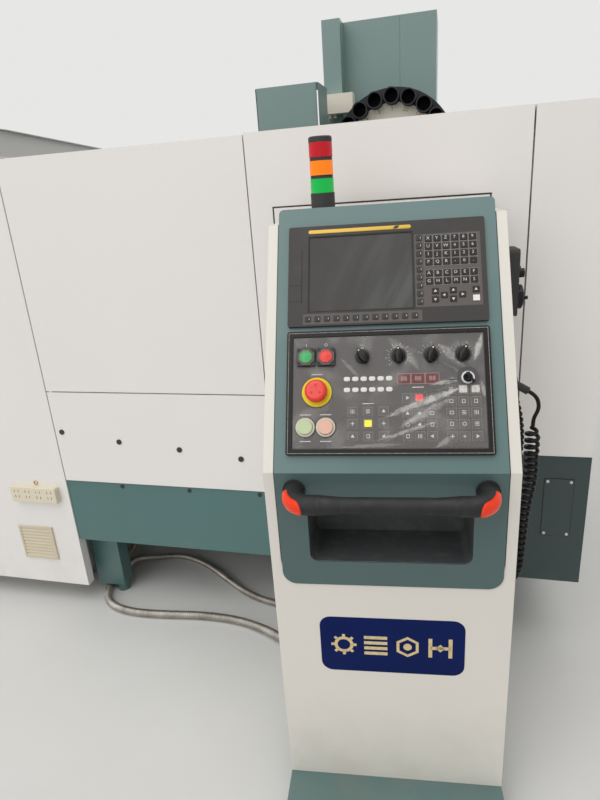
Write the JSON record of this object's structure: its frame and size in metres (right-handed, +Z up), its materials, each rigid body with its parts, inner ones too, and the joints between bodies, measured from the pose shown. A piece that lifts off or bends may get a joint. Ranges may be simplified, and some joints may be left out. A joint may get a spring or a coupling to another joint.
{
  "type": "profile machining center",
  "caption": "Travelling-column machining centre behind a half-height sheet guard, with a disc tool magazine, a hinged loading door and a free-standing operator console.",
  "frame": {"origin": "centre of the bed casting's four anchor holes, on the floor", "axes": "+X to the right along the machine, +Y away from the operator, +Z up"},
  "size_m": [2.6, 3.1136, 2.19],
  "materials": {
    "white_paint": "satin sheet paint",
    "teal_paint": "satin sheet paint, teal",
    "teal_casting": "painted casting, teal grey",
    "grey_sheet": "pale grey paint",
    "table_iron": "ground iron",
    "tool_steel": "turned and ground",
    "pocket_black": "moulded, black",
    "cream_plastic": "moulded, cream",
    "black_plastic": "moulded, black",
    "screen_glass": "dark display window",
    "lens_red": "clear-toned lens",
    "lens_amber": "clear-toned lens",
    "lens_green": "clear-toned lens",
    "orange_gloss": "glossy moulded cap",
    "button_green": "moulded cap",
    "button_red": "moulded cap",
    "button_pale": "milky cap, pale green",
    "button_pink": "milky cap, pink",
    "cord_rubber": "black sheath",
    "conduit_metal": "ribbed metal sleeve, dusty"
  },
  "bodies": {
    "root": {"left_cover": "white_paint", "left_end_wall": "white_paint", "lower_panel": "white_paint", "centre_panel": "white_paint", "right_cover": "white_paint", "rear_guard": "white_paint", "console_body": "white_paint", "front_skirt": "teal_paint", "right_skirt": "teal_paint", "guard_frame": "teal_paint", "console_fascia": "teal_paint", "console_foot": "teal_paint", "bed_frame": "teal_casting", "electrical_cabinet": "grey_sheet", "chip_pan": "grey_sheet", "work_table": "table_iron", "socket_strip": "cream_plastic", "vent_grille": "cream_plastic", "panel_plugs": "black_plastic", "display_bezel": "black_plastic", "operator_panel": "black_plastic", "beacon_base": "black_plastic", "handle_bar": "black_plastic", "pendant_body": "black_plastic", "screen": "screen_glass", "beacon_red": "lens_red", "beacon_amber": "lens_amber", "beacon_green": "lens_green", "handle_caps": "orange_gloss", "pendant_cord": "cord_rubber", "pendant_coil": "cord_rubber", "conduit_a": "conduit_metal", "conduit_b": "conduit_metal"},
    "saddle": {"saddle": "teal_casting"},
    "column": {"column": "teal_casting", "tower_cover": "teal_paint", "terminal_box": "cream_plastic", "magazine_frame": "teal_casting"},
    "head": {"head": "teal_casting", "head_cover": "teal_paint"},
    "spindle": {"spindle": "tool_steel"},
    "magazine": {"magazine_disc": "pocket_black", "number_ring": "cream_plastic"},
    "quill": {"arm_shaft": "tool_steel"},
    "arm": {"change_arm": "tool_steel"},
    "door": {"loading_door": "white_paint"},
    "jaws": {"clamp_jaws": "tool_steel"},
    "start_button": {"start_button": "button_green"},
    "stop_button": {"stop_button": "button_red"},
    "cycle_button": {"cycle_button": "button_pale"},
    "hold_button": {"hold_button": "button_pink"},
    "emergency_stop": {"emergency_stop": "button_red"},
    "selector_1": {"selector_knob_1": "black_plastic"},
    "selector_2": {"selector_knob_2": "black_plastic"},
    "selector_3": {"selector_knob_3": "black_plastic"},
    "selector_4": {"selector_knob_4": "black_plastic"},
    "key": {"key_switch": "black_plastic"},
    "pulse_wheel": {"pendant_wheel": "black_plastic"},
    "axis_selector": {"axis_knob": "black_plastic"},
    "step_selector": {"step_knob": "black_plastic"}
  },
  "joints": [
    {"name": "x_travel", "type": "slide", "parent": "root", "child": "saddle", "axis": [1, 0, 0], "range_m": [-1.2, 0.3]},
    {"name": "y_travel", "type": "slide", "parent": "saddle", "child": "column", "axis": [0, 1, 0], "range_m": [-0.7, 0]},
    {"name": "z_travel", "type": "slide", "parent": "column", "child": "head", "axis": [0, 0, 1], "range_m": [-0.35, 0]},
    {"name": "spindle_turn", "type": "hinge", "parent": "head", "child": "spindle", "pos_m": [0.19, -0.02, 1.3], "axis": [0, 0, 1], "continuous": true},
    {"name": "magazine_turn", "type": "hinge", "parent": "column", "child": "magazine", "pos_m": [0.637, 0.14, 1.54], "axis": [0, 1, 0], "continuous": true},
    {"name": "arm_drop", "type": "slide", "parent": "column", "child": "quill", "axis": [0, 0, 1], "range_m": [-0.115, 0]},
    {"name": "arm_turn", "type": "hinge", "parent": "quill", "child": "arm", "pos_m": [0.4135, -0.02, 1.165], "axis": [0, 0, 1], "range_deg": [0, 270]},
    {"name": "door_hinge", "type": "hinge", "parent": "root", "child": "door", "pos_m": [-0.338, -1.452, 1.19], "axis": [0, 0, 1], "range_deg": [-100, 0]},
    {"name": "clamp_close", "type": "slide", "parent": "root", "child": "jaws", "axis": [0, 1, 0], "range_m": [-0.09, 0]},
    {"name": "start_press", "type": "slide", "parent": "root", "child": "start_button", "axis": [-0.0882, 0.8535, -0.5135], "range_m": [0, 0.004], "stiffness_N_per_m": 400, "springref_m": -0.002},
    {"name": "stop_press", "type": "slide", "parent": "root", "child": "stop_button", "axis": [-0.0882, 0.8535, -0.5135], "range_m": [0, 0.004], "stiffness_N_per_m": 400, "springref_m": -0.002},
    {"name": "cycle_press", "type": "slide", "parent": "root", "child": "cycle_button", "axis": [-0.0882, 0.8535, -0.5135], "range_m": [0, 0.004], "stiffness_N_per_m": 400, "springref_m": -0.002},
    {"name": "hold_press", "type": "slide", "parent": "root", "child": "hold_button", "axis": [-0.0882, 0.8535, -0.5135], "range_m": [0, 0.004], "stiffness_N_per_m": 400, "springref_m": -0.002},
    {"name": "emergency_press", "type": "slide", "parent": "root", "child": "emergency_stop", "axis": [-0.0882, 0.8535, -0.5135], "range_m": [0, 0.004]},
    {"name": "selector_turn_1", "type": "hinge", "parent": "root", "child": "selector_1", "pos_m": [0.75636, -1.89271, 1.08232], "axis": [0.0882, -0.8535, 0.5135], "range_deg": [-60, 60]},
    {"name": "selector_turn_2", "type": "hinge", "parent": "root", "child": "selector_2", "pos_m": [0.82698, -1.88541, 1.08232], "axis": [0.0882, -0.8535, 0.5135], "range_deg": [-135, 135]},
    {"name": "selector_turn_3", "type": "hinge", "parent": "root", "child": "selector_3", "pos_m": [0.88995, -1.8789, 1.08232], "axis": [0.0882, -0.8535, 0.5135], "range_deg": [-135, 135]},
    {"name": "selector_turn_4", "type": "hinge", "parent": "root", "child": "selector_4", "pos_m": [0.95003, -1.87269, 1.08232], "axis": [0.0882, -0.8535, 0.5135], "range_deg": [-45, 45]},
    {"name": "key_turn", "type": "hinge", "parent": "root", "child": "key", "pos_m": [0.95995, -1.89573, 1.04234], "axis": [0.0882, -0.8535, 0.5135], "range_deg": [-90, 0]},
    {"name": "wheel_turn", "type": "hinge", "parent": "root", "child": "pulse_wheel", "pos_m": [1.06851, -1.63099, 1.147], "axis": [0.9947, 0.1028, 0], "continuous": true},
    {"name": "axis_turn", "type": "hinge", "parent": "root", "child": "axis_selector", "pos_m": [1.07047, -1.64989, 1.202], "axis": [0.9947, 0.1028, 0], "range_deg": [-90, 90]},
    {"name": "step_turn", "type": "hinge", "parent": "root", "child": "step_selector", "pos_m": [1.06656, -1.61209, 1.202], "axis": [0.9947, 0.1028, 0], "range_deg": [-45, 45]}
  ]
}
